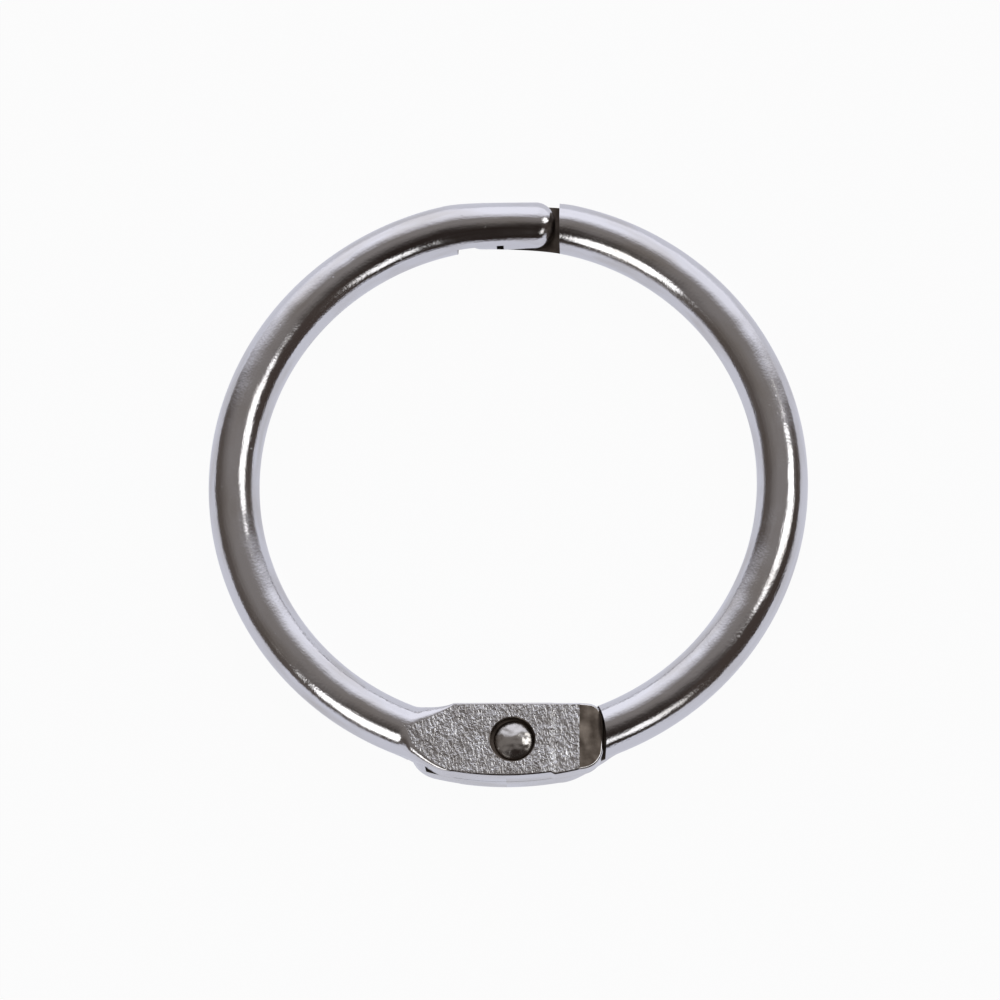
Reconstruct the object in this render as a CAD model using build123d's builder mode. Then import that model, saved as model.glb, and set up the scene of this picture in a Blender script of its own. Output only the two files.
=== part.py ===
"""Jailer key ring: two half rings of round steel wire, riveted together at the hinge and hooked at the closure.

The ring lies flat. Z = 0 is the surface it rests on, the origin is the centre of the ring, +Y points to the
closure and -Y to the hinge. Both halves have the same form: the back half is the front half turned over about
the line from hinge to closure.
"""

import os
from math import cos, radians, sin, sqrt, tan

from build123d import *

# Driving dimensions, in millimetres and degrees. The "line" is X = 0, from hinge to closure.
OPENING_D = 25.4  # clear inside of the ring
WIRE_D = 2.6
RUNNING_GAP = 0.04  # between the two tabs, and between the two tongues

# Hinge: each wire end is stamped to half its thickness and spread to a tab, flush with the wire's crest.
FLARE_ANGLE = 22.0  # from the line to where the round wire starts to spread
FLARE_END_X = 2.6  # from the line to where the tab has its full width
SHOULDER_ANGLE = 17.0  # the wire's other half runs on this far, up to the other tab's end
TAB_W = 3.76
TAB_INNER_Y = 11.94  # straight inner edge, from the centre of the ring
TAB_REACH = 4.88  # from the line to the rounded end
TAB_END_BOW = 0.12
TAB_CORNER_R = 0.7  # the end's corner inside the ring
TAB_HEEL_R = 1.2  # the end's corner outside the ring
TAB_EDGE_R = 0.10
CREASE_X = 2.35  # the last stroke of the die starts here: thinner from here on, and wider
CREASE_RUN = 0.28
CREASE_DROP = 0.06
CREASE_SPREAD = 0.12
BEVEL_X = 3.68
BEVEL_DROP = 0.42
TAB_CLEARANCE = 0.25  # between a tab's end and the other half's shoulder

# Rivet: it stands a little off the line, towards the front tab's end.
PIVOT_X = 0.40
SHANK_R = 0.80
SHANK_CLEARANCE = 0.03
HEAD_R = 1.00
HEAD_T = 0.30
HEAD_CROWN = 0.10
HEAD_SINK = 0.01  # the crown stays this far below the tab's face
RECESS_R = 1.17

# Closure: half-lapped tongues with domed tips, and a step in each that hooks behind the other.
STRAIGHTEN_ANGLE = 13.0  # from the line to where the wire leaves the ring's circle
LAP_X = 2.65  # from the line to the square shoulder
TIP_GAP = 0.28
TONGUE_R = 1.21
TONGUE_Y = 13.90
HOOK_STEP = 0.30  # each hook reaches this far past the middle plane
FRONT_HOOK_X = -0.26
BACK_HOOK_X = -0.62

# Worked out from the above.
WIRE_R = WIRE_D / 2
RING_R = OPENING_D / 2 + WIRE_R
MID_Z = WIRE_R
TAB_OUTER_R = TAB_INNER_Y + TAB_W
ROOT_W = sqrt(TAB_OUTER_R**2 - FLARE_END_X**2) - TAB_INNER_Y  # the tab's width where its flare ends
ROOT_Y = -(TAB_INNER_Y + ROOT_W / 2)
PIVOT_Y = -(TAB_INNER_Y + TAB_W / 2)
TIP_X = LAP_X - TIP_GAP - TONGUE_R  # centre of the domed tip
FLARE_POLAR = 270 - FLARE_ANGLE
STRAIGHTEN_POLAR = 90 + STRAIGHTEN_ANGLE

middle = Plane.XY.offset(MID_Z)


def wire_section(polar: float) -> Plane:
    """Plane square to the ring's circle at a polar angle, with local X outwards and local Y up."""
    outwards = Vector(cos(radians(polar)), sin(radians(polar)), 0)
    centre = RING_R * outwards + Vector(0, 0, MID_Z)
    return Plane(origin=centre, x_dir=outwards, z_dir=outwards.cross(Vector(0, 0, 1)))


def run_out(polar: float, end_x: float, end_y: float) -> Edge:
    """Centre line that leaves the ring's circle on its tangent and ends parallel to X."""
    start = wire_section(polar).origin
    corner_x = start.X - (end_y - start.Y) * tan(radians(polar))
    return Edge.make_bezier(start, (corner_x, end_y, MID_Z), (end_x, end_y, MID_Z))


def section_along(line: Edge, share: float) -> Plane:
    """Plane square to a centre line at a share of its length, with local X up and local Y away from the ring."""
    return Plane(origin=line @ share, x_dir=(0, 0, 1), z_dir=line % share)


def ease(share: float) -> float:
    """Runs from 0 to 1, level at both ends."""
    return share * share * (3 - 2 * share)


def below_circle(radius: float, x: float) -> tuple[float, float]:
    """Point on the hinge side of a circle about the ring's centre."""
    return (x, -sqrt(radius**2 - x**2))


def stamped_tab(pivot_x: float) -> Part:
    """Upper tab, from the end of its flare to its bevelled tip, with the rivet's hole and recess."""
    wide_r = TAB_OUTER_R + CREASE_SPREAD
    crease_end = CREASE_X + CREASE_RUN
    end_x = TAB_REACH - TAB_END_BOW
    low_z = WIRE_D - CREASE_DROP
    root = (-FLARE_END_X, -TAB_INNER_Y)
    root_outer = below_circle(TAB_OUTER_R, -FLARE_END_X)
    tip_inner = (end_x, -TAB_INNER_Y)
    tip_outer = below_circle(wide_r, end_x)

    with BuildPart() as tab:
        with BuildSketch(middle) as plan:
            with BuildLine():
                Line(tip_inner, root)
                Line(root, root_outer)
                ThreePointArc(root_outer, (0, -TAB_OUTER_R), below_circle(TAB_OUTER_R, CREASE_X))
                Line(below_circle(TAB_OUTER_R, CREASE_X), below_circle(wide_r, crease_end))
                ThreePointArc(below_circle(wide_r, crease_end), below_circle(wide_r, BEVEL_X), tip_outer)
                ThreePointArc(tip_outer, (TAB_REACH, PIVOT_Y), tip_inner)
            make_face()
            fillet(plan.vertices().sort_by_distance(tip_inner)[0], TAB_CORNER_R)
            fillet(plan.vertices().sort_by_distance(tip_outer)[0], TAB_HEEL_R)
        extrude(amount=WIRE_R)
        rim_edges = tab.faces().sort_by(Axis.Z)[-1].edges()
        fillet(rim_edges.filter_by(lambda e: e.center().X > -FLARE_END_X + TAB_EDGE_R), TAB_EDGE_R)
        with BuildSketch(Plane.XZ):
            with BuildLine():
                Polyline(
                    (CREASE_X, WIRE_D),
                    (crease_end, low_z),
                    (BEVEL_X, low_z),
                    (TAB_REACH, low_z - BEVEL_DROP),
                    (TAB_REACH + WIRE_R, low_z - BEVEL_DROP),
                    (TAB_REACH + WIRE_R, WIRE_D + WIRE_R),
                    (CREASE_X, WIRE_D + WIRE_R),
                    close=True,
                )
            make_face()
        extrude(amount=TAB_OUTER_R + TAB_W, mode=Mode.SUBTRACT)
        with Locations((pivot_x, PIVOT_Y, WIRE_D)):
            CounterBoreHole(SHANK_R + SHANK_CLEARANCE, RECESS_R, HEAD_T + RUNNING_GAP)
    return tab.part


def half_ring(hook_x: float, pivot_x: float) -> Part:
    """Front half: wire on the left of the line, with the upper tab and the upper tongue."""
    flare = run_out(FLARE_POLAR, -FLARE_END_X, ROOT_Y)
    tongue = run_out(STRAIGHTEN_POLAR, TIP_X, TONGUE_Y)
    room_r = TAB_REACH + pivot_x + TAB_CLEARANCE
    tab = stamped_tab(pivot_x)

    with BuildPart() as half:
        # Round wire, and the lower half of it that runs on beside the flare.
        with BuildSketch(wire_section(STRAIGHTEN_POLAR)):
            Circle(WIRE_R)
        revolve(axis=Axis.Z, revolution_arc=FLARE_POLAR - STRAIGHTEN_POLAR)
        with BuildSketch(wire_section(FLARE_POLAR)):
            Circle(WIRE_R)
            with Locations((0, WIRE_R / 2)):
                Rectangle(WIRE_D, WIRE_R, mode=Mode.SUBTRACT)
        revolve(axis=Axis.Z, revolution_arc=FLARE_ANGLE - SHOULDER_ANGLE)

        # Tongue: the wire straightens and narrows a little, and ends in a dome.
        for share in (0, 1 / 3, 2 / 3, 1):
            with BuildSketch(section_along(tongue, share)):
                Circle(WIRE_R + (TONGUE_R - WIRE_R) * ease(share))
        loft()
        with Locations((TIP_X, TONGUE_Y, MID_Z)):
            Sphere(
                TONGUE_R,
                arc_size1=0,
                rotation=(0, 90, 0),
                align=(Align.CENTER, Align.CENTER, Align.MIN),
            )
        with BuildSketch(Plane.XZ):
            with BuildLine():
                thin_z = MID_Z + RUNNING_GAP / 2 + HOOK_STEP
                thick_z = MID_Z + RUNNING_GAP / 2 - HOOK_STEP
                Polyline(
                    (-LAP_X, -WIRE_R),
                    (-LAP_X, thin_z),
                    (hook_x, thin_z),
                    (hook_x, thick_z),
                    (2 * LAP_X, thick_z),
                    (2 * LAP_X, -WIRE_R),
                    close=True,
                )
            make_face()
        extrude(amount=-(RING_R + WIRE_D), mode=Mode.SUBTRACT)

        # Flare: half of the round section spreads and flattens until it has the tab's section.
        for share in (0, 1 / 3, 2 / 3, 1):
            half_w = WIRE_R + (ROOT_W / 2 - WIRE_R) * ease(share)
            flat = (ROOT_W / 2 - TAB_EDGE_R) * (1 - (1 - share) ** 2)
            with BuildSketch(section_along(flare, share)) as profile:
                with Locations((WIRE_R / 2, 0)):
                    Rectangle(WIRE_R, 2 * half_w)
                fillet(profile.vertices().sort_by(Axis.X)[-2:], min(half_w - flat, WIRE_R - RUNNING_GAP / 2))
        loft()
        add(tab)
        with Locations((pivot_x, PIVOT_Y, 0)):
            Cylinder(
                room_r,
                MID_Z + RUNNING_GAP / 2,
                align=(Align.CENTER, Align.CENTER, Align.MIN),
                mode=Mode.SUBTRACT,
            )
    return half.part


with BuildPart() as front_half_ring:
    add(half_ring(hook_x=FRONT_HOOK_X, pivot_x=PIVOT_X))

with BuildPart() as back_half_ring:
    with Locations((0, 0, WIRE_D)):
        add(half_ring(hook_x=-BACK_HOOK_X, pivot_x=-PIVOT_X), rotation=(0, 180, 0))

# The rivet is tight in the back tab and turns in the front one.
with BuildPart() as hinge_rivet:
    with BuildSketch(Plane(origin=(PIVOT_X, PIVOT_Y, MID_Z), x_dir=(1, 0, 0), z_dir=(0, -1, 0))):
        with BuildLine():
            crown = WIRE_R - HEAD_SINK
            rim = crown - HEAD_CROWN
            back_head = WIRE_R - HEAD_T - RUNNING_GAP
            swelled_r = SHANK_R + SHANK_CLEARANCE
            RadiusArc((0, -crown), (HEAD_R, -rim), -(HEAD_R**2 + HEAD_CROWN**2) / (2 * HEAD_CROWN))
            Polyline(
                (HEAD_R, -rim),
                (HEAD_R, -back_head),
                (swelled_r, -back_head),
                (swelled_r, -RUNNING_GAP / 2),
                (SHANK_R, -RUNNING_GAP / 2),
                (SHANK_R, WIRE_R - HEAD_T),
                (HEAD_R, WIRE_R - HEAD_T),
                (HEAD_R, rim),
            )
            RadiusArc((HEAD_R, rim), (0, crown), -(HEAD_R**2 + HEAD_CROWN**2) / (2 * HEAD_CROWN))
            Line((0, crown), (0, -crown))
        make_face()
    revolve(axis=Axis((PIVOT_X, PIVOT_Y, 0), (0, 0, 1)))

front_half_ring.part.label = "front_half_ring"
back_half_ring.part.label = "back_half_ring"
hinge_rivet.part.label = "hinge_rivet"

os.makedirs("parts", exist_ok=True)
for piece in (front_half_ring.part, back_half_ring.part, hinge_rivet.part):
    export_step(piece, f"parts/{piece.label}.step")
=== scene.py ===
"""Jailer key ring: looks for the two riveted half rings of nickel-plated steel wire and their hinge rivet."""

import logging
from dataclasses import dataclass, field
from enum import Enum
from math import atan2, cos, pi, radians, sin, sqrt, tan

import bmesh
import bpy
from mathutils import Matrix, Vector


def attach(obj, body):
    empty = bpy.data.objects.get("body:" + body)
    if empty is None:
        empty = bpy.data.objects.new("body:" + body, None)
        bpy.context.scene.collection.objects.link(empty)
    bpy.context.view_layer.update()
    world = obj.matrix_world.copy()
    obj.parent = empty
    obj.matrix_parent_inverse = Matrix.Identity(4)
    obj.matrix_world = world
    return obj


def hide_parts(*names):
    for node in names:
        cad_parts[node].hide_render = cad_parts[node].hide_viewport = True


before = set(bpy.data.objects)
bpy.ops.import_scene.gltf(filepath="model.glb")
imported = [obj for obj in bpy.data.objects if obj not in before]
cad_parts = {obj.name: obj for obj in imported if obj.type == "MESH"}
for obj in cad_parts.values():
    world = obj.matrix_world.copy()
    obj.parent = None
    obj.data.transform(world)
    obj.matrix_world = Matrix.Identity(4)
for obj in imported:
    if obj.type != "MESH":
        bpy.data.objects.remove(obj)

Tree = bpy.types.NodeTree
Socket = bpy.types.NodeSocket
Shape = bmesh.types.BMesh
Vert = bmesh.types.BMVert

MM = 0.001  # shapes are modelled in millimetres and scaled to metres last
WHITE = (1.0, 1.0, 1.0, 1.0)
log = logging.getLogger("key_ring")


class Slot(Enum):
    """Material slots of a half ring."""

    WIRE = 0
    STAMPED = 1
    # dark base colour on the cut faces and the bevel, which is painted shade
    BARE = 2


class Half(Enum):
    """The two halves: as modelled, and turned over about the line from hinge to closure."""

    FRONT = "front_half"
    BACK = "back_half"


def hex_to_linear(colour: str) -> tuple[float, float, float, float]:
    """Turns an sRGB colour to the linear values that shaders use.

    Args:
        colour: Hex colour, such as "#C8C5C0".

    Returns:
        Linear red, green, blue and an alpha of 1.
    """
    values = [int(colour[i : i + 2], 16) / 255 for i in (1, 3, 5)]
    red, green, blue = [v / 12.92 if v <= 0.04045 else ((v + 0.055) / 1.055) ** 2.4 for v in values]
    return (red, green, blue, 1.0)


def add_node(tree: Tree, kind: str, inputs: dict | None = None, **settings: object) -> bpy.types.Node:
    """Adds one node to a node tree, with its settings, values and links.

    Args:
        tree: Node tree of a material or of the world.
        kind: Type name of the node.
        inputs: Socket name or number to a value, or to the output socket that feeds it.
        settings: Properties of the node itself.

    Returns:
        The new node.
    """
    node = tree.nodes.new(kind)
    for name, value in settings.items():
        setattr(node, name, value)
    for socket, value in (inputs or {}).items():
        if isinstance(value, Socket):
            tree.links.new(value, node.inputs[socket])
        else:
            node.inputs[socket].default_value = value
    return node


def combine(tree: Tree, operation: str, *values: object) -> Socket:
    """Works out one number from others with a Math node.

    Args:
        tree: Node tree of a material or of the world.
        operation: Name of the Math node's operation.
        values: Numbers or output sockets.

    Returns:
        The result's output socket.
    """
    return add_node(tree, "ShaderNodeMath", dict(enumerate(values)), operation=operation).outputs[0]


def ramp(
    tree: Tree, value: Socket, span: tuple[float, float], ends: tuple[float, float] = (0.0, 1.0), kind: str = "LINEAR"
) -> Socket:
    """Turns a value that crosses a span into one that runs between two ends.

    Args:
        tree: Node tree of a material or of the world.
        value: Output socket to follow.
        span: Values at which the ramp starts and stops.
        ends: Results there.
        kind: Interpolation of the Map Range node.

    Returns:
        The result's output socket.
    """
    inputs = {0: value, 1: span[0], 2: span[1], 3: ends[0], 4: ends[1]}
    return add_node(tree, "ShaderNodeMapRange", inputs, interpolation_type=kind).outputs[0]


def mix(tree: Tree, share: object, first: object, second: object) -> Socket:
    """Mixes two colours.

    Args:
        tree: Node tree of a material or of the world.
        share: Output socket with 0 for the first colour and 1 for the second.
        first: Linear colour, or an output socket.
        second: The same.

    Returns:
        The mixed colour's output socket.
    """
    return add_node(tree, "ShaderNodeMix", {0: share, 6: first, 7: second}, data_type="RGBA").outputs[2]


@dataclass(frozen=True)
class SurfaceMap:
    """Where a point lies, in millimetres: in the ring's own axes, or along and round the wire."""

    ring_r: float = 14.0
    wire_r: float = 1.3

    def in_mm(self, tree: Tree) -> Socket:
        """Gives a point's place in the ring's axes, in millimetres."""
        place = add_node(tree, "ShaderNodeTexCoord").outputs["Object"]
        return add_node(tree, "ShaderNodeVectorMath", {0: place, "Scale": 1 / MM}, operation="SCALE").outputs[0]

    def along_wire(self, tree: Tree, place: Socket) -> Socket:
        """Gives a point's place along and round the wire. The seams lie at the hinge and underneath.

        Args:
            tree: Node tree of the material.
            place: Output socket with the point's place in millimetres.

        Returns:
            Output socket with millimetres along the ring in X and round the wire in Y.
        """
        axes = add_node(tree, "ShaderNodeSeparateXYZ", {0: place}).outputs
        turn = combine(tree, "ARCTAN2", axes["X"], axes["Y"])
        reach = combine(tree, "SQRT", combine(tree, "ADD", combine(tree, "MULTIPLY", axes["X"], axes["X"]),
                                              combine(tree, "MULTIPLY", axes["Y"], axes["Y"])))
        side = combine(tree, "SUBTRACT", reach, self.ring_r)
        rise = combine(tree, "SUBTRACT", axes["Z"], self.wire_r)
        girth = combine(tree, "ARCTAN2", side, rise)
        along = combine(tree, "MULTIPLY", turn, self.ring_r)
        round_wire = combine(tree, "MULTIPLY", girth, self.wire_r)
        return add_node(tree, "ShaderNodeCombineXYZ", {"X": along, "Y": round_wire}).outputs[0]


@dataclass(frozen=True)
class Relief:
    """One layer of fine relief: noise of a real size and height, in millimetres."""

    size: float
    height: float
    length: float = 0.0  # along the wire, where the layer is drawn out

    def noise(self, tree: Tree, place: Socket, detail: float = 2.0) -> Socket:
        """Makes the layer's noise.

        Args:
            tree: Node tree of the material.
            place: Output socket with the place in millimetres.
            detail: Finer octaves of the noise.

        Returns:
            Output socket that runs from about 0 to 1.
        """
        step = (1 / (self.length or self.size), 1 / self.size, 1 / self.size)
        scaled = add_node(tree, "ShaderNodeVectorMath", {0: place, 1: step}, operation="MULTIPLY").outputs[0]
        return add_node(tree, "ShaderNodeTexNoise", {"Vector": scaled, "Scale": 1.0, "Detail": detail}).outputs[0]

    def rise(self, tree: Tree, place: Socket, detail: float = 2.0) -> Socket:
        """Gives the layer's height in millimetres."""
        return combine(tree, "MULTIPLY", self.noise(tree, place, detail), self.height)


def new_material(name: str) -> tuple[bpy.types.Material, Tree, bpy.types.Node]:
    """Makes a material with one Principled shader.

    Args:
        name: Name of the finish.

    Returns:
        The material, its node tree and the shader.
    """
    material = bpy.data.materials.new(name)
    material.use_nodes = True
    tree = material.node_tree
    return material, tree, tree.nodes["Principled BSDF"]


def bump(tree: Tree, shader: bpy.types.Node, heights: list[Socket]) -> None:
    """Adds up layers of relief, in millimetres, and gives them to a shader as its bump.

    Args:
        tree: Node tree of the material.
        shader: The material's shader.
        heights: Output sockets with heights in millimetres.
    """
    total = heights[0]
    for height in heights[1:]:
        total = combine(tree, "ADD", total, height)
    normal = add_node(tree, "ShaderNodeBump", {"Strength": 1.0, "Distance": MM, "Height": total}).outputs[0]
    tree.links.new(normal, shader.inputs["Normal"])


@dataclass(frozen=True)
class NickelPlatedWire:
    """Drawn steel wire with bright nickel plate: a cool mirror with drawing lines, faint orange peel and pits."""

    bright: str = "#DEDDDF"
    dull: str = "#CCC8C4"
    roughness: tuple[float, float] = (0.09, 0.22)
    drawing_lines: Relief = Relief(size=0.09, height=0.0036, length=7.0)  # die marks run along the wire
    peel: Relief = Relief(size=1.1, height=0.030)  # plating is a little wavy
    grit: Relief = Relief(size=0.12, height=0.0065)  # handling marks, drawn as coarse as they need to show
    cloud: Relief = Relief(size=1.3, height=1.0, length=5.0)
    dull_span: tuple[float, float] = (0.46, 0.72)  # cloud values from bright to dull
    wear_span: tuple[float, float] = (0.36, 0.66)  # wear values from glossy to rough
    pit_spacing: float = 0.75
    pit_r: float = 0.055
    pit_depth: float = 0.012
    where: SurfaceMap = SurfaceMap()

    def material(self) -> bpy.types.Material:
        """Builds the bright wire's material."""
        material, tree, shader = new_material("nickel-plated steel wire")
        place = self.where.in_mm(tree)
        run = self.where.along_wire(tree, place)
        clouds = self.cloud.noise(tree, run, 3.0)
        tint = mix(tree, ramp(tree, clouds, self.dull_span), hex_to_linear(self.bright), hex_to_linear(self.dull))
        tree.links.new(tint, shader.inputs["Base Color"])
        shader.inputs["Metallic"].default_value = 1.0
        streaks = self.drawing_lines.noise(tree, run)
        wear = combine(tree, "MULTIPLY", combine(tree, "ADD", clouds, streaks), 0.5)
        tree.links.new(ramp(tree, wear, self.wear_span, self.roughness), shader.inputs["Roughness"])
        cell = add_node(tree, "ShaderNodeTexVoronoi", {"Vector": place, "Scale": 1 / self.pit_spacing}).outputs[0]
        pit = ramp(tree, cell, (0.0, self.pit_r / self.pit_spacing), (-self.pit_depth, 0.0), "SMOOTHSTEP")
        bump(tree, shader, [self.drawing_lines.rise(tree, run), self.peel.rise(tree, place, 0.0),
                            self.grit.rise(tree, place), pit])
        return material


@dataclass(frozen=True)
class StampedNickel:
    """Wire stamped flat in a die and plated: grey and grainy, with bright flecks where grains face the light."""

    face: str = "#F2F3F5"
    hollow: str = "#CBC9C8"
    roughness: tuple[float, float] = (0.15, 0.31)
    grain_size: float = 0.12  # die grain, squeezed out across the tab
    grain_stretch: float = 2.6
    grain_depth: float = 0.038
    press_marks: Relief = Relief(size=0.24, height=0.050)
    fine_grain: Relief = Relief(size=0.08, height=0.0240)
    stain: Relief = Relief(size=0.8, height=1.0)
    stain_span: tuple[float, float] = (0.35, 0.68)
    bends_per_mm: float = 3.0  # the rows of grains wander this often
    bend_reach: float = 0.3  # and this far, in millimetres
    where: SurfaceMap = SurfaceMap()

    def material(self) -> bpy.types.Material:
        """Builds the stamped tab's material."""
        material, tree, shader = new_material("stamped nickel-plated steel")
        place = self.where.in_mm(tree)
        stains = self.stain.noise(tree, place, 4.0)
        tint = mix(tree, ramp(tree, stains, self.stain_span), hex_to_linear(self.hollow), hex_to_linear(self.face))
        tree.links.new(tint, shader.inputs["Base Color"])
        shader.inputs["Metallic"].default_value = 1.0
        noise = {"Vector": place, "Scale": self.bends_per_mm, "Detail": 2.0}
        warp = add_node(tree, "ShaderNodeTexNoise", noise).outputs[1]
        bent = add_node(tree, "ShaderNodeVectorMath", {0: warp, 1: (self.bend_reach,) * 3, 2: place},
                        operation="MULTIPLY_ADD").outputs[0]
        long = add_node(tree, "ShaderNodeVectorMath", {0: bent, 1: (1.0, 1 / self.grain_stretch, 1.0)},
                        operation="MULTIPLY").outputs[0]
        grains = add_node(tree, "ShaderNodeTexVoronoi", {"Vector": long, "Scale": 1 / self.grain_size})
        chance = add_node(tree, "ShaderNodeSeparateColor", {0: grains.outputs[1]}).outputs[0]
        tree.links.new(ramp(tree, chance, (0.0, 1.0), self.roughness), shader.inputs["Roughness"])
        bump(tree, shader, [combine(tree, "MULTIPLY", grains.outputs[0], self.grain_depth),
                            self.press_marks.rise(tree, long, 2.0), self.fine_grain.rise(tree, place, 2.0)])
        return material


@dataclass(frozen=True)
class ShadeDarkenedSteel:
    """Sheared and milled faces and the tab's bevel: dark brown-grey steel, dull. The dark colour is painted shade,
    and the blotches in it are stains.
    """

    # painted shade: both tones are dark brown-grey, and stain noise mixes them
    shaded_clean: str = "#827970"
    shaded_stained: str = "#5C534B"
    roughness: tuple[float, float] = (0.38, 0.55)
    tool_marks: Relief = Relief(size=0.12, height=0.006)
    stain: Relief = Relief(size=0.9, height=1.0)
    stain_span: tuple[float, float] = (0.35, 0.65)
    rough_span: tuple[float, float] = (0.3, 0.7)
    where: SurfaceMap = SurfaceMap()

    def material(self) -> bpy.types.Material:
        """Builds the material of the mating faces, shoulders and recess, whose dark colour is painted shade."""
        material, tree, shader = new_material("shade-darkened steel")
        place = self.where.in_mm(tree)
        stains = self.stain.noise(tree, place, 3.0)
        # painted shade: the dark tones, blotched by stain noise
        tint = mix(tree, ramp(tree, stains, self.stain_span), hex_to_linear(self.shaded_clean), hex_to_linear(self.shaded_stained))
        tree.links.new(tint, shader.inputs["Base Color"])
        shader.inputs["Metallic"].default_value = 1.0
        tree.links.new(ramp(tree, stains, self.rough_span, self.roughness), shader.inputs["Roughness"])
        bump(tree, shader, [self.tool_marks.rise(tree, place)])
        return material


@dataclass(frozen=True)
class PeenedRivetSteel:
    """Rivet head closed by a punch and plated: bright crown with shallow dimples, darker towards its rim as painted
    shade where the head sits in its recess.
    """

    crown: str = "#CFCCC8"
    # painted shade at the head's rim, where it sits in the recess
    rim: str = "#6A6159"
    roughness: tuple[float, float] = (0.16, 0.34)
    dimples: Relief = Relief(size=0.5, height=0.075)
    scuffs: Relief = Relief(size=0.09, height=0.004)
    centre: tuple[float, float] = (0.40, -13.82)
    rim_band: tuple[float, float] = (0.79, 1.07)  # where the painted shade at the rim starts and is full
    rim_wander: float = 0.15  # how far the band's edge wanders inwards
    rough_span: tuple[float, float] = (0.3, 1.5)
    where: SurfaceMap = SurfaceMap()

    def material(self) -> bpy.types.Material:
        """Builds the rivet's material."""
        material, tree, shader = new_material("peened nickel-plated rivet")
        place = self.where.in_mm(tree)
        axes = add_node(tree, "ShaderNodeSeparateXYZ", {0: place}).outputs
        flat = add_node(tree, "ShaderNodeCombineXYZ", {"X": axes["X"], "Y": axes["Y"]}).outputs[0]
        reach = add_node(tree, "ShaderNodeVectorMath", {0: flat, 1: (*self.centre, 0.0)},
                         operation="DISTANCE").outputs["Value"]
        scuffs = self.scuffs.noise(tree, place)
        ragged = combine(tree, "ADD", reach, combine(tree, "MULTIPLY", scuffs, self.rim_wander))
        # painted shade: the head darkens towards its rim
        edge = ramp(tree, ragged, self.rim_band, kind="SMOOTHSTEP")
        tint = mix(tree, edge, hex_to_linear(self.crown), hex_to_linear(self.rim))
        tree.links.new(tint, shader.inputs["Base Color"])
        shader.inputs["Metallic"].default_value = 1.0
        rim_shade_and_scuffs = combine(tree, "ADD", edge, scuffs)
        tree.links.new(ramp(tree, rim_shade_and_scuffs, self.rough_span, self.roughness), shader.inputs["Roughness"])
        bump(tree, shader, [self.dimples.rise(tree, place, 1.0), self.scuffs.rise(tree, place)])
        return material


def smoothed(share: float) -> float:
    """Runs from 0 to 1, level at both ends."""
    return share * share * (3 - 2 * share)


def finish_mesh(mesh: Shape, name: str, sharp_angle: float = 32.0) -> bpy.types.Object:
    """Closes seams, turns faces outwards, smooths them, scales to metres and makes the object.

    Args:
        mesh: Shape in millimetres. It is freed.
        name: Name of the piece.
        sharp_angle: Edges that turn more than this many degrees stay sharp.

    Returns:
        The new object, linked to the scene.
    """
    bmesh.ops.remove_doubles(mesh, verts=mesh.verts, dist=0.0005)
    bmesh.ops.dissolve_degenerate(mesh, dist=0.0004, edges=mesh.edges)
    bmesh.ops.recalc_face_normals(mesh, faces=mesh.faces)
    for face in mesh.faces:
        face.smooth = True
    for edge in mesh.edges:
        edge.smooth = edge.calc_face_angle(0.0) < radians(sharp_angle)
    bmesh.ops.scale(mesh, vec=(MM, MM, MM), verts=mesh.verts)
    data = bpy.data.meshes.new(name)
    mesh.to_mesh(data)
    mesh.free()
    piece = bpy.data.objects.new(name, data)
    bpy.context.scene.collection.objects.link(piece)
    return piece


def carve(mesh: Shape, cutters: list[Shape]) -> Shape:
    """Cuts shapes out of a closed shape. The cut faces keep the cutters' material slot.

    Args:
        mesh: Closed shape. It is freed.
        cutters: Closed shapes to take away, one after another. They are freed.

    Returns:
        The shape that is left.
    """
    holders = []
    for shape in [mesh, *cutters]:
        data = bpy.data.meshes.new("blank")
        bmesh.ops.recalc_face_normals(shape, faces=shape.faces)
        shape.to_mesh(data)
        shape.free()
        for _ in Slot:
            data.materials.append(None)
        holder = bpy.data.objects.new("blank", data)
        bpy.context.scene.collection.objects.link(holder)
        holders.append(holder)
    for cutter in holders[1:]:
        cut = holders[0].modifiers.new("cut", "BOOLEAN")
        cut.operation = "DIFFERENCE"
        cut.solver = "EXACT"
        cut.object = cutter
    left = bmesh.new()
    left.from_object(holders[0], bpy.context.evaluated_depsgraph_get())
    for holder in holders:
        data = holder.data
        bpy.data.objects.remove(holder)
        bpy.data.meshes.remove(data)
    return left


@dataclass(frozen=True)
class Station:
    """One cross-section of a half ring, in millimetres: its two sides in plan and the size of its upper corners."""

    inner: Vector
    outer: Vector
    inner_in: Vector  # points into the metal from the inner side
    outer_in: Vector
    inner_corner: float  # width of each upper corner
    outer_corner: float
    corner_h: float  # height of both
    height: float  # of the crest above the middle plane, and of the round side below it


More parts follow.
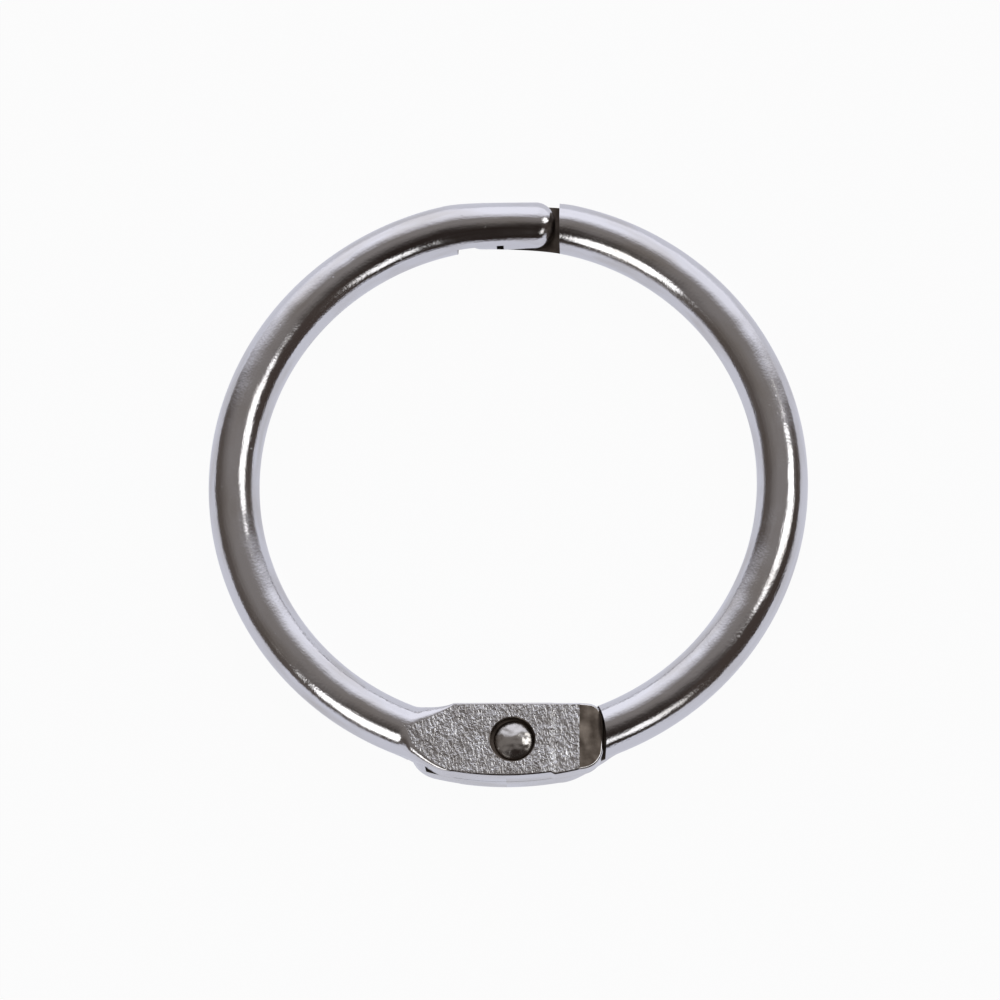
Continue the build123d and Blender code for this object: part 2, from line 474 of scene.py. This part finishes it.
@dataclass(frozen=True)
class Section:
    """How the edge loop that is swept along a half ring is divided."""

    wall: int = 3
    arc: int = 12
    flat: int = 12
    below: int = 26

    @property
    def count(self) -> int:
        """Number of vertices in the loop."""
        return 2 * (self.wall + self.arc) + self.flat + self.below

    def points(self, station: Station) -> list[tuple[Vector, float, float]]:
        """Places the loop's vertices at a station.

        Args:
            station: The cross-section.

        Returns:
            For each vertex its plan point, its height over the middle plane, and how far it follows the tab's top.
        """
        rise = station.height - station.corner_h
        inner_top = station.inner + station.inner_in * station.inner_corner
        outer_top = station.outer + station.outer_in * station.outer_corner
        up = [(station.inner, rise * i / self.wall, i / self.wall) for i in range(self.wall)]
        down = [(station.outer, rise * (1 - i / self.wall), 1 - i / self.wall) for i in range(self.wall)]
        turns = [pi / 2 * i / self.arc for i in range(self.arc)]
        first = [(station.inner + station.inner_in * station.inner_corner * (1 - cos(a)),
                  rise + station.corner_h * sin(a), 1.0) for a in turns]
        row = [(inner_top.lerp(outer_top, i / self.flat), station.height, 1.0) for i in range(self.flat)]
        last = [(station.outer + station.outer_in * station.outer_corner * (1 - sin(a)),
                 rise + station.corner_h * cos(a), 1.0) for a in turns]
        middle = (station.inner + station.outer) / 2
        half = (station.outer - station.inner) / 2
        under = [(middle + half * cos(pi * i / self.below), -station.height * sin(pi * i / self.below), 0.0)
                 for i in range(self.below)]
        return up + first + row + last + down + under

    def on_flat(self, index: int) -> bool:
        """Tells whether the face that starts at a vertex of the loop lies on the flat top."""
        start = self.wall + self.arc
        return start <= index < start + self.flat


class Outline:
    """One side of the tab in plan: a fine run of points with the metal on a known side."""

    def __init__(self, points: list[Vector], side: float) -> None:
        """Keeps the points and their distances along the run.

        Args:
            points: Plan points from the root to the end of the tab.
            side: 1 where the metal lies to the left of the run, and -1 where it lies to the right.
        """
        self.points = points
        self.side = side
        self.reach = [0.0]
        for a, b in zip(points, points[1:]):
            self.reach.append(self.reach[-1] + (b - a).length)

    def at(self, share: float) -> tuple[Vector, Vector]:
        """Gives the plan point at a share of the run's length, and the direction into the metal.

        Args:
            share: 0 at the root and 1 at the end.

        Returns:
            The point and the unit vector.
        """
        goal = share * self.reach[-1]
        i = max(k for k, r in enumerate(self.reach[:-1]) if r <= goal)
        a, b = self.points[i], self.points[i + 1]
        tangent = (b - a).normalized()
        point = a + tangent * (goal - self.reach[i])
        return point, Vector((-tangent.y, tangent.x, 0)) * self.side


def arc_points(centre: Vector, radius: float, start: float, end: float, steps: int = 24) -> list[Vector]:
    """Gives points along an arc in plan.

    Args:
        centre: Centre of the arc.
        radius: Its radius.
        start: Angle of the first point, in radians from +X.
        end: Angle of the last point.
        steps: Number of pieces.

    Returns:
        The points, first and last included.
    """
    angles = [start + (end - start) * i / steps for i in range(steps + 1)]
    return [centre + radius * Vector((cos(a), sin(a), 0)) for a in angles]


def circles_meet(a: Vector, ra: float, b: Vector, rb: float) -> Vector:
    """Gives the point where two circles meet that lies to the right of the line from one centre to the other.

    Args:
        a: Centre of the first circle.
        ra: Its radius.
        b: Centre of the second circle.
        rb: Its radius.

    Returns:
        The meeting point.
    """
    gap = b - a
    along = (ra * ra - rb * rb + gap.length_squared) / (2 * gap.length)
    way = gap.normalized()
    return a + way * along + Vector((way.y, -way.x, 0)) * sqrt(ra * ra - along * along)


@dataclass
class HalfRing:
    """One half of the ring: round wire with a stamped hinge tab at one end and a hooked tongue at the other.

    The front half is modelled, lying left of the line from hinge to closure. Sizes are in millimetres and degrees.
    """

    half: Half
    hook_x: float
    pivot_x: float
    tab_heel_r: float
    crease_spread: float
    opening_d: float = 25.4
    wire_d: float = 2.6
    running_gap: float = 0.04
    flare_angle: float = 22.0
    flare_end_x: float = 2.6
    flat_opening: float = 1.6  # how fast the V of the stamped flat opens
    flat_aside: float = 0.26  # its point lies this far outside the wire's crest
    flat_start: float = 0.24
    tab_w: float = 3.76
    tab_inner_y: float = 11.94
    tab_reach: float = 4.88
    tab_end_bow: float = 0.12
    tab_corner_r: float = 0.7
    tab_edge_r: float = 0.10
    crease_x: float = 2.26
    crease_run: float = 0.19
    crease_drop: float = 0.075
    bevel_x: float = 3.68
    bevel_drop: float = 0.42
    tab_clearance: float = 0.14
    shank_r: float = 0.80
    shank_clearance: float = 0.03
    head_t: float = 0.30
    recess_r: float = 1.10
    recess_aside: float = 0.06  # the recess is punched a little off the rivet, away from the tab's end
    recess_lip: float = 0.07
    straighten_angle: float = 13.0
    lap_x: float = 2.65
    tip_gap: float = 0.22
    dome_length: float = 1.02  # the tip is blunter than a ball, and more so from above
    dome_bluntness: float = 0.5
    tongue_r: float = 1.21
    tongue_y: float = 13.90
    hook_step: float = 0.30
    box_shy: float = 0.006  # the finished shape is drawn in this much, to stay inside the solid's box
    section: Section = field(default_factory=Section)
    wire_steps: int = 110
    flare_steps: int = 34
    tab_step: float = 0.16
    end_steps: int = 26
    tongue_steps: int = 26
    dome_steps: int = 16

    @property
    def wire_r(self) -> float:
        """Radius of the wire."""
        return self.wire_d / 2

    @property
    def ring_r(self) -> float:
        """Radius of the wire's centre line."""
        return self.opening_d / 2 + self.wire_r

    @property
    def tab_outer_r(self) -> float:
        """Radius of the tab's outer edge."""
        return self.tab_inner_y + self.tab_w

    @property
    def pivot_y(self) -> float:
        """Place of the rivet below the ring's centre."""
        return -(self.tab_inner_y + self.tab_w / 2)

    @property
    def root_w(self) -> float:
        """Width of the tab where its flare ends."""
        return sqrt(self.tab_outer_r**2 - self.flare_end_x**2) - self.tab_inner_y

    def build(self) -> bpy.types.Object:
        """Sweeps the half ring, then cuts the lap, the room for the other tab and the rivet's hole."""
        mesh = self._sweep()
        mesh = carve(mesh, [self._lap_cutter(), self._room_cutter(), self._hole_cutter()])
        inside = 1 - self.box_shy / self.tab_outer_r
        bmesh.ops.scale(mesh, vec=(inside, inside, 1.0), verts=mesh.verts)
        if self.half is Half.BACK:
            turn = Matrix.Rotation(pi, 4, "Y")
            bmesh.ops.rotate(mesh, cent=(0, 0, self.wire_r), matrix=turn, verts=mesh.verts)
        return finish_mesh(mesh, f"{self.half.value}_plated")

    def dress(self, piece: bpy.types.Object, finishes: dict[Slot, bpy.types.Material]) -> None:
        """Gives the piece its materials and body, and hides the CAD part that it stands for.

        Args:
            piece: The half ring's mesh.
            finishes: Material for each slot.
        """
        for slot in Slot:
            piece.data.materials.append(finishes[slot])
        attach(piece, self.half.value)
        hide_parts(f"{self.half.value}_ring")

    def _sweep(self) -> Shape:
        """Sweeps the section loop through every station by extrusion.

        Returns:
            A closed mesh in millimetres.
        """
        mesh = bmesh.new()
        loop = list(bmesh.ops.create_circle(mesh, cap_ends=False, segments=self.section.count, radius=1.0)["verts"])
        stations = self._tongue() + self._wire()
        flare_start = len(stations)
        stations += self._flare()
        tab_start = len(stations)
        stations += self._tab()
        self._place(loop, stations[0], False)
        edges = self._loop_edges(mesh, loop)
        for number, station in enumerate(stations[1:], 1):
            grown = bmesh.ops.extrude_edge_only(mesh, edges=edges)["geom"]
            fresh = {v for v in grown if isinstance(v, Vert)}
            loop = [next(e.other_vert(v) for e in v.link_edges if e.other_vert(v) in fresh) for v in loop]
            self._place(loop, station, number >= tab_start)
            edges = self._loop_edges(mesh, loop)
            if number >= flare_start:
                for index, edge in enumerate(edges):
                    if self.section.on_flat(index):
                        face = edge.link_faces[0]
                        face.material_index = self._top_slot(face.calc_center_median().x).value
        bmesh.ops.remove_doubles(mesh, verts=mesh.verts, dist=0.0004)
        bmesh.ops.recalc_face_normals(mesh, faces=mesh.faces)
        return mesh

    def _loop_edges(self, mesh: Shape, loop: list[Vert]) -> list[bmesh.types.BMEdge]:
        """Gives the edges that join a closed loop of vertices, in the loop's order."""
        return [mesh.edges.get((vert, loop[(i + 1) % len(loop)])) for i, vert in enumerate(loop)]

    def _place(self, loop: list[Vert], station: Station, on_tab: bool) -> None:
        """Moves a loop of vertices to a station.

        Args:
            loop: Vertices in the section's order.
            station: Where they go.
            on_tab: Whether the tab's crease and bevel lower the top.
        """
        for vert, (plan, rise, follow) in zip(loop, self.section.points(station)):
            drop = self._drop(plan.x) * follow if on_tab else 0.0
            vert.co = (plan.x, plan.y, self.wire_r + rise - drop)

    def _top_slot(self, x: float) -> Slot:
        """Gives the finish of the stamped top: grainy, and darkened with painted shade on the bevel.

        Args:
            x: Place along the tab.

        Returns:
            The material slot.
        """
        return Slot.BARE if x > self.bevel_x else Slot.STAMPED

    def _drop(self, x: float) -> float:
        """Gives how far the tab's top lies below the wire's crest.

        Args:
            x: Place along the tab.

        Returns:
            Millimetres below the crest.
        """
        if x < self.crease_x:
            return 0.0
        if x < self.bevel_x:
            return self.crease_drop * min(1.0, (x - self.crease_x) / self.crease_run)
        return self.crease_drop + self.bevel_drop * (x - self.bevel_x) / (self.tab_reach - self.bevel_x)

    def _round(self, centre: Vector, outwards: Vector, radius: float, height: float | None = None) -> Station:
        """Gives a station where the section is round.

        Args:
            centre: Middle of the section.
            outwards: Unit vector away from the ring.
            radius: Half the section's width.
            height: Half its height, where it isn't a circle.

        Returns:
            The station.
        """
        tall = radius if height is None else height
        return Station(centre - outwards * radius, centre + outwards * radius, outwards, -outwards,
                       radius, radius, tall, tall)

    def _run_out(self, polar: float, end: Vector, share: float) -> tuple[Vector, Vector]:
        """Follows the centre line that leaves the ring's circle on its tangent and ends along X.

        Args:
            polar: Angle on the circle where it leaves, in degrees.
            end: Where it ends.
            share: 0 at the circle and 1 at the end.

        Returns:
            The point, and the unit vector away from the ring.
        """
        start = self.ring_r * Vector((cos(radians(polar)), sin(radians(polar)), 0))
        corner = Vector((start.x - (end.y - start.y) * tan(radians(polar)), end.y, 0))
        point = start * (1 - share) ** 2 + corner * (2 * share * (1 - share)) + end * share**2
        tangent = ((corner - start) * (1 - share) + (end - corner) * share).normalized()
        outwards = Vector((tangent.y, -tangent.x, 0))
        return point, outwards if outwards.dot(point) > 0 else -outwards

    def _tongue(self) -> list[Station]:
        """Gives the stations from the pole of the domed tip to the ring's circle."""
        tip = Vector((self.lap_x - self.tip_gap - self.dome_length, self.tongue_y, 0))
        away = Vector((0, 1, 0))
        stations = []
        for i in range(self.dome_steps):
            turn = pi / 2 * i / self.dome_steps
            centre = tip + Vector((self.dome_length * cos(turn), 0, 0))
            height = self.tongue_r * sin(turn) ** self.dome_bluntness if i else 0.0
            stations.append(self._round(centre, away, self.tongue_r * sin(turn), height))
        for i in range(self.tongue_steps):
            share = 1 - i / self.tongue_steps
            point, outwards = self._run_out(90 + self.straighten_angle, tip, share)
            radius = self.wire_r + (self.tongue_r - self.wire_r) * smoothed(share)
            stations.append(self._round(point, outwards, radius))
        return stations

    def _wire(self) -> list[Station]:
        """Gives the stations of the round wire."""
        first, last = 90 + self.straighten_angle, 270 - self.flare_angle
        stations = []
        for i in range(self.wire_steps):
            polar = radians(first + (last - first) * i / self.wire_steps)
            outwards = Vector((cos(polar), sin(polar), 0))
            stations.append(self._round(outwards * self.ring_r, outwards, self.wire_r))
        return stations

    def _flare(self) -> list[Station]:
        """Gives the stations where the wire's top spreads and flattens."""
        end = Vector((-self.flare_end_x, -(self.tab_inner_y + self.root_w / 2), 0))
        stations = []
        for i in range(self.flare_steps):
            share = i / self.flare_steps
            point, outwards = self._run_out(270 - self.flare_angle, end, share)
            half_w = self.wire_r + (self.root_w / 2 - self.wire_r) * smoothed(share)
            flat = (self.root_w / 2 - self.tab_edge_r) * (1 - (1 - share) ** self.flat_opening)
            aside = self.flat_aside * smoothed(min(1.0, share / self.flat_start)) * (1 - share) ** 2
            flat *= smoothed(min(1.0, share / self.flat_start))
            stations.append(Station(point - outwards * half_w, point + outwards * half_w, outwards, -outwards,
                                    half_w - flat + aside, half_w - flat - aside,
                                    min(half_w - flat, self.wire_r), self.wire_r))
        return stations

    def _tab(self) -> list[Station]:
        """Gives the stations of the tab, from its root round to the middle of its end."""
        stations = []
        marks = [self.crease_x - 0.04, self.crease_x, self.crease_x + self.crease_run / 2,
                 self.crease_x + self.crease_run, self.bevel_x - 0.02, self.bevel_x, self.bevel_x + 0.04]
        x = -self.flare_end_x
        while x < self.bevel_x - self.tab_step / 2:
            if all(abs(x - m) > self.tab_step / 3 for m in marks):
                marks.append(x)
            x += self.tab_step
        for x in sorted(marks):
            inner = Vector((x, -self.tab_inner_y, 0))
            outer = Vector((x, -sqrt(self._outer_r(x) ** 2 - x * x), 0))
            stations.append(self._flat_top(inner, outer, Vector((0, -1, 0)), Vector((0, 1, 0))))
        inner_side, outer_side = self._end_outlines(max(marks))
        for i in range(1, self.end_steps + 1):
            share = sin(pi / 2 * i / self.end_steps) if i < self.end_steps else 1.0
            inner, inner_in = inner_side.at(share)
            outer, outer_in = outer_side.at(share)
            stations.append(self._flat_top(inner, outer, inner_in, outer_in))
        return stations

    def _flat_top(self, inner: Vector, outer: Vector, inner_in: Vector, outer_in: Vector) -> Station:
        """Gives a station of the tab, flat with small round edges."""
        edge = self.tab_edge_r
        return Station(inner, outer, inner_in, outer_in, edge, edge, edge, self.wire_r)

    def _outer_r(self, x: float) -> float:
        """Gives the radius of the tab's outer edge, which spreads past the crease."""
        return self.tab_outer_r + self.crease_spread * min(1.0, max(0.0, (x - self.crease_x) / self.crease_run))

    def _end_outlines(self, x: float) -> tuple[Outline, Outline]:
        """Draws the two sides of the tab's rounded end in plan.

        Args:
            x: Where the run of straight stations stops.

        Returns:
            The inner and the outer side, both ending in the middle of the bowed end.
        """
        wide_r = self.tab_outer_r + self.crease_spread
        chord_x = self.tab_reach - self.tab_end_bow
        heel_y = -sqrt(wide_r**2 - chord_x**2)
        middle_y = (heel_y - self.tab_inner_y) / 2
        half = (-self.tab_inner_y - heel_y) / 2
        end_r = (half**2 + self.tab_end_bow**2) / (2 * self.tab_end_bow)
        end_c = Vector((self.tab_reach - end_r, middle_y, 0))
        corner_y = -self.tab_inner_y - self.tab_corner_r
        reach = end_r - self.tab_corner_r
        corner_c = Vector((end_c.x + sqrt(reach**2 - (corner_y - end_c.y) ** 2), corner_y, 0))
        corner_turn = atan2(corner_c.y - end_c.y, corner_c.x - end_c.x)
        inner = [Vector((x, -self.tab_inner_y, 0))]
        inner += arc_points(corner_c, self.tab_corner_r, pi / 2, corner_turn)
        inner += arc_points(end_c, end_r, corner_turn, 0.0)[1:]
        heel_c = circles_meet(end_c, end_r - self.tab_heel_r, Vector((0, 0, 0)), wide_r - self.tab_heel_r)
        start = atan2(-sqrt(wide_r**2 - x * x), x)
        heel_start = atan2(heel_c.y, heel_c.x)
        heel_end = atan2(heel_c.y - end_c.y, heel_c.x - end_c.x)
        outer = arc_points(Vector((0, 0, 0)), wide_r, start, heel_start)
        outer += arc_points(heel_c, self.tab_heel_r, heel_start, heel_end)[1:]
        outer += arc_points(end_c, end_r, heel_end, 0.0)[1:]
        return Outline(inner, -1.0), Outline(outer, 1.0)

    def _lap_cutter(self) -> Shape:
        """Makes the block that takes the tongue down to its hooked half."""
        thin_z = self.wire_r + self.running_gap / 2 + self.hook_step
        thick_z = self.wire_r + self.running_gap / 2 - self.hook_step
        corners = [(-self.lap_x, -self.wire_r), (-self.lap_x, thin_z), (self.hook_x, thin_z),
                   (self.hook_x, thick_z), (2 * self.lap_x, thick_z), (2 * self.lap_x, -self.wire_r)]
        block = bmesh.new()
        face = block.faces.new([block.verts.new((x, self.ring_r - self.wire_d, z)) for x, z in corners])
        grown = bmesh.ops.extrude_face_region(block, geom=[face])["geom"]
        far_side = [v for v in grown if isinstance(v, Vert)]
        bmesh.ops.translate(block, vec=(0, 2 * self.wire_d, 0), verts=far_side)
        return self._paint_shade(block)

    def _room_cutter(self) -> Shape:
        """Makes the disc that clears the underside of the tab for the other half's tab."""
        top = self.wire_r + self.running_gap / 2
        depth = top + self.wire_r
        disc = bmesh.new()
        room_r = self.tab_reach + self.pivot_x + self.tab_clearance
        bmesh.ops.create_cone(disc, cap_ends=True, segments=144, radius1=room_r, radius2=room_r, depth=depth)
        bmesh.ops.translate(disc, vec=(self.pivot_x, self.pivot_y, top - depth / 2), verts=disc.verts)
        return self._paint_shade(disc)

    def _hole_cutter(self) -> Shape:
        """Turns the shape of the rivet's hole and of the recess for its head, with a rolled lip."""
        hole_r = self.shank_r + self.shank_clearance + self.recess_aside
        floor_z = self.wire_d - self.head_t - self.running_gap
        lip = self.recess_lip
        profile = [(0.0, 0.0), (hole_r, 0.0), (hole_r, floor_z), (self.recess_r, floor_z)]
        profile += [(self.recess_r + lip * (1 - cos(a)), self.wire_d - lip + lip * sin(a))
                    for a in (radians(k) for k in (0, 20, 40, 60, 80))]
        profile += [(self.recess_r + lip * 1.2, self.wire_d + 0.3), (0.0, self.wire_d + 0.3)]
        return self._paint_shade(lathe(profile, Vector((self.pivot_x - self.recess_aside, self.pivot_y, 0)), 96))

    def _paint_shade(self, cutter: Shape) -> Shape:
        """Marks a cutter's faces with the slot whose dark colour is painted shade."""
        for face in cutter.faces:
            face.material_index = Slot.BARE.value
        return cutter


def lathe(profile: list[tuple[float, float]], centre: Vector, steps: int) -> Shape:
    """Turns a profile about an upright axis.

    Args:
        profile: Radius and height of each point, from axis to axis.
        centre: Where the axis stands.
        steps: Number of faces round it.

    Returns:
        The closed shape.
    """
    mesh = bmesh.new()
    verts = [mesh.verts.new((centre.x + r, centre.y, z)) for r, z in profile]
    edges = [mesh.edges.new(pair) for pair in zip(verts, verts[1:])]
    bmesh.ops.spin(mesh, geom=verts + edges, cent=centre, axis=(0, 0, 1), angle=2 * pi, steps=steps, use_merge=True)
    bmesh.ops.remove_doubles(mesh, verts=mesh.verts, dist=0.0005)
    bmesh.ops.recalc_face_normals(mesh, faces=mesh.faces)
    return mesh


@dataclass
class HingeRivet:
    """Rivet through both tabs, tight in the back one, with a domed head at each end. Sizes are in millimetres."""

    pivot: tuple[float, float] = (0.40, -13.82)
    wire_r: float = 1.3
    running_gap: float = 0.04
    shank_r: float = 0.80
    shank_clearance: float = 0.03
    head_r: float = 1.00
    head_t: float = 0.30
    head_crown: float = 0.24
    head_sink: float = 0.01
    head_edge_r: float = 0.06
    arc_steps: int = 8

    def _head(self, seat: float) -> list[tuple[float, float]]:
        """Gives a head's profile from its seat to the middle of its crown.

        Args:
            seat: Height of the head's flat seat over the middle plane.

        Returns:
            Radius and height of each point.
        """
        crown = self.wire_r - self.head_sink
        rim = crown - self.head_crown
        edge = [(self.head_r - self.head_edge_r * (1 - cos(a)), rim - self.head_edge_r * (1 - sin(a)))
                for a in (radians(50 * i / self.arc_steps) for i in range(self.arc_steps + 1))]
        last_r, last_z = edge[-1]
        dome = [(last_r * (1 - k / self.arc_steps), last_z + (crown - last_z) * (1 - (1 - k / self.arc_steps) ** 2))
                for k in range(1, self.arc_steps + 1)]
        return [(self.head_r, seat), *edge, *dome]

    def build(self) -> bpy.types.Object:
        """Turns the rivet."""
        swelled = self.shank_r + self.shank_clearance
        upper = [(r, self.wire_r + z) for r, z in self._head(self.wire_r - self.head_t - self.running_gap / 2)]
        lower = [(r, self.wire_r - z) for r, z in reversed(self._head(self.wire_r - self.head_t - self.running_gap))]
        split = self.wire_r - self.running_gap / 2
        shank = [(swelled, lower[-1][1]), (swelled, split), (self.shank_r, split), (self.shank_r, upper[0][1])]
        mesh = lathe(lower + shank + upper, Vector((*self.pivot, 0)), 72)
        return finish_mesh(mesh, "hinge_rivet_peened")

    def dress(self, piece: bpy.types.Object, finish: bpy.types.Material) -> None:
        """Gives the rivet its material and body, and hides the CAD part that it stands for.

        Args:
            piece: The rivet's mesh.
            finish: Its material.
        """
        piece.data.materials.append(finish)
        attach(piece, Half.BACK.value)
        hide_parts("hinge_rivet")


@dataclass(frozen=True)
class Lamp:
    """A round soft lamp, placed by its direction from the ring."""

    azimuth: float  # degrees from +X towards +Y
    elevation: float
    spread: float  # degrees across
    level: float  # brightness of its face, where 1 is white
    colour: str = "#FFFFFF"

    def build(self, name: str, distance: float) -> None:
        """Adds the lamp to the scene.

        Args:
            name: Name of the lamp.
            distance: Metres from the ring.
        """
        light = bpy.data.lights.new(name, "AREA")
        light.shape = "DISK"
        light.size = 2 * distance * tan(radians(self.spread / 2))
        light.color = hex_to_linear(self.colour)[:3]
        light.energy = self.level * pi * pi * light.size**2 / 4
        lamp = bpy.data.objects.new(name, light)
        bpy.context.scene.collection.objects.link(lamp)
        way = heading(self.azimuth, self.elevation)
        lamp.location = way * distance
        lamp.rotation_euler = way.to_track_quat("Z", "Y").to_euler()
        lamp.visible_camera = False


def heading(azimuth: float, elevation: float) -> Vector:
    """Gives the unit vector of a direction.

    Args:
        azimuth: Degrees from +X towards +Y.
        elevation: Degrees above the floor.

    Returns:
        The vector.
    """
    flat = cos(radians(elevation))
    return Vector((flat * cos(radians(azimuth)), flat * sin(radians(azimuth)), sin(radians(elevation))))


@dataclass(frozen=True)
class SkyPatch:
    """A soft round patch of the surroundings, such as a window or a dark wall, by its direction from the ring."""

    azimuth: float
    elevation: float
    full: float  # degrees from its middle to where it starts to fade
    fade: float  # degrees from its middle to where it has gone
    colour: str
    level: float = 1.0

    def over(self, tree: Tree, way: Socket, under: Socket) -> Socket:
        """Lays the patch over the colours so far.

        Args:
            tree: The world's node tree.
            way: Output socket with the direction.
            under: Output socket with the colour so far.

        Returns:
            Output socket with the new colour.
        """
        toward = add_node(tree, "ShaderNodeVectorMath", {0: way, 1: heading(self.azimuth, self.elevation)},
                          operation="DOT_PRODUCT").outputs["Value"]
        share = ramp(tree, toward, (cos(radians(self.fade)), cos(radians(self.full))), kind="SMOOTHSTEP")
        red, green, blue, alpha = hex_to_linear(self.colour)
        return mix(tree, share, under, (red * self.level, green * self.level, blue * self.level, alpha))


@dataclass
class Studio:
    """White table, dim room, a broad window light behind on the left and three soft lamps."""

    overhead: str = "#85807E"
    low: str = "#5C5551"
    horizon: str = "#DCDEEA"
    horizon_span: tuple[float, float] = (0.0, 0.05)  # heights of the unit sky where the horizon gives way
    overhead_span: tuple[float, float] = (0.45, 0.9)  # and where the overhead light takes over
    table: str = "#F2F3F8"
    table_mirrored: str = "#EEF0FC"  # the table as the plating mirrors it
    seen_glow: float = 0.95  # share of the table's white that is its own glow, to the camera
    mirrored_glow: float = 0.7  # and in the plating
    table_size: float = 6.0
    table_drop: float = 0.00002  # keeps the ring's lowest face clear of it
    lamp_distance: float = 0.7
    patches: tuple[SkyPatch, ...] = (
        SkyPatch(280, 40, 22, 60, "#2A2320"),
        SkyPatch(345, 25, 14, 42, "#453C38"),
        SkyPatch(88, 8, 30, 62, "#EFF0FA", 1.2),
        SkyPatch(63, 24, 8, 20, "#EFF0FA", 1.1),
    )
    lamps: tuple[Lamp, ...] = (
        Lamp(233, 32, 33, 1.9),
        Lamp(16, 48, 27, 1.9),
        Lamp(306, 28, 20, 1.4),
    )

    def build(self) -> None:
        """Builds the table, the room and the lamps."""
        self._room()
        self._table()
        for number, lamp in enumerate(self.lamps, 1):
            lamp.build(f"soft_lamp_{number}", self.lamp_distance)

    def _room(self) -> None:
        """Builds the surroundings that the plating mirrors, and the white that the camera sees behind."""
        world = bpy.data.worlds.new("dim room")
        bpy.context.scene.world = world
        world.use_nodes = True
        tree = world.node_tree
        tree.nodes.clear()
        way = add_node(tree, "ShaderNodeTexCoord").outputs["Generated"]
        rise = add_node(tree, "ShaderNodeSeparateXYZ", {0: way}).outputs["Z"]
        colour = mix(tree, ramp(tree, rise, self.horizon_span), hex_to_linear(self.horizon), hex_to_linear(self.low))
        colour = mix(tree, ramp(tree, rise, self.overhead_span), colour, hex_to_linear(self.overhead))
        for patch in self.patches:
            colour = patch.over(tree, way, colour)
        rays = add_node(tree, "ShaderNodeLightPath").outputs
        seen = combine(tree, "MAXIMUM", rays["Is Camera Ray"], rays["Is Transmission Ray"])
        colour = mix(tree, seen, colour, WHITE)
        background = add_node(tree, "ShaderNodeBackground", {"Color": colour, "Strength": 1.0}).outputs[0]
        add_node(tree, "ShaderNodeOutputWorld", {"Surface": background})

    def _table(self) -> None:
        """Builds the white table top, which shows white and keeps a faint shadow."""
        material = bpy.data.materials.new("white table top")
        material.use_nodes = True
        tree = material.node_tree
        tree.nodes.clear()
        paper = add_node(tree, "ShaderNodeBsdfDiffuse", {"Color": hex_to_linear(self.table)}).outputs[0]
        rays = add_node(tree, "ShaderNodeLightPath").outputs
        tone = mix(tree, rays["Is Glossy Ray"], WHITE, hex_to_linear(self.table_mirrored))
        glow = add_node(tree, "ShaderNodeEmission", {"Color": tone, "Strength": 1.0}).outputs[0]
        seen = combine(tree, "MAXIMUM", rays["Is Camera Ray"], rays["Is Transmission Ray"])
        share = combine(tree, "MAXIMUM", combine(tree, "MULTIPLY", seen, self.seen_glow),
                        combine(tree, "MULTIPLY", rays["Is Glossy Ray"], self.mirrored_glow))
        blend = add_node(tree, "ShaderNodeMixShader", {0: share, 1: paper, 2: glow}).outputs[0]
        add_node(tree, "ShaderNodeOutputMaterial", {"Surface": blend})
        mesh = bmesh.new()
        bmesh.ops.create_grid(mesh, x_segments=1, y_segments=1, size=self.table_size / 2)
        bmesh.ops.translate(mesh, vec=(0, 0, -self.table_drop), verts=mesh.verts)
        data = bpy.data.meshes.new("table_top")
        mesh.to_mesh(data)
        mesh.free()
        data.materials.append(material)
        table = bpy.data.objects.new("table_top", data)
        bpy.context.scene.collection.objects.link(table)


@dataclass
class Camera:
    """Long lens from above and a little in front, upright and nearly square to the ring."""

    way: tuple[float, float, float] = (0.0336, -0.2889, 0.9568)
    distance: float = 0.224
    roll: float = 0.30  # degrees
    lens: float = 158.0
    aim: tuple[float, float, float] = (0.0, 0.0, 0.0013)
    aside: float = -0.000394
    above: float = -0.000936

    def build(self) -> None:
        """Adds the camera and makes it the scene's own."""
        data = bpy.data.cameras.new("long_lens")
        data.lens = self.lens
        data.sensor_width = 36.0
        data.clip_start = 0.01
        camera = bpy.data.objects.new("long_lens", data)
        bpy.context.scene.collection.objects.link(camera)
        back = Vector(self.way).normalized()
        right = Vector((0, 1, 0)).cross(back).normalized()
        right = Matrix.Rotation(radians(self.roll), 3, back) @ right
        up = back.cross(right)
        place = Vector(self.aim) + right * self.aside + up * self.above + back * self.distance
        axes = Matrix((right, up, back)).transposed().to_4x4()
        camera.matrix_world = Matrix.Translation(place) @ axes
        bpy.context.scene.camera = camera


def main() -> None:
    """Builds the ring, the studio and the camera, in that order."""
    logging.basicConfig(level=logging.INFO, format="%(name)s: %(message)s")
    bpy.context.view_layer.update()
    scene = bpy.context.scene
    scene.view_settings.view_transform = "Standard"

    finishes = {
        Slot.WIRE: NickelPlatedWire().material(),
        Slot.STAMPED: StampedNickel().material(),
        # the cut faces and the bevel get a dark colour that is painted shade
        Slot.BARE: ShadeDarkenedSteel().material(),
    }
    front = HalfRing(Half.FRONT, hook_x=-0.26, pivot_x=0.40, tab_heel_r=1.2, crease_spread=0.12)
    back = HalfRing(Half.BACK, hook_x=0.62, pivot_x=-0.40, tab_heel_r=1.4, crease_spread=0.0)
    for half in (front, back):
        piece = half.build()
        half.dress(piece, finishes)
        log.info("%s: %d faces", piece.name, len(piece.data.polygons))
    rivet = HingeRivet()
    piece = rivet.build()
    rivet.dress(piece, PeenedRivetSteel().material())
    log.info("%s: %d faces", piece.name, len(piece.data.polygons))

    Studio().build()
    Camera().build()


if __name__ == "__main__":
    main()
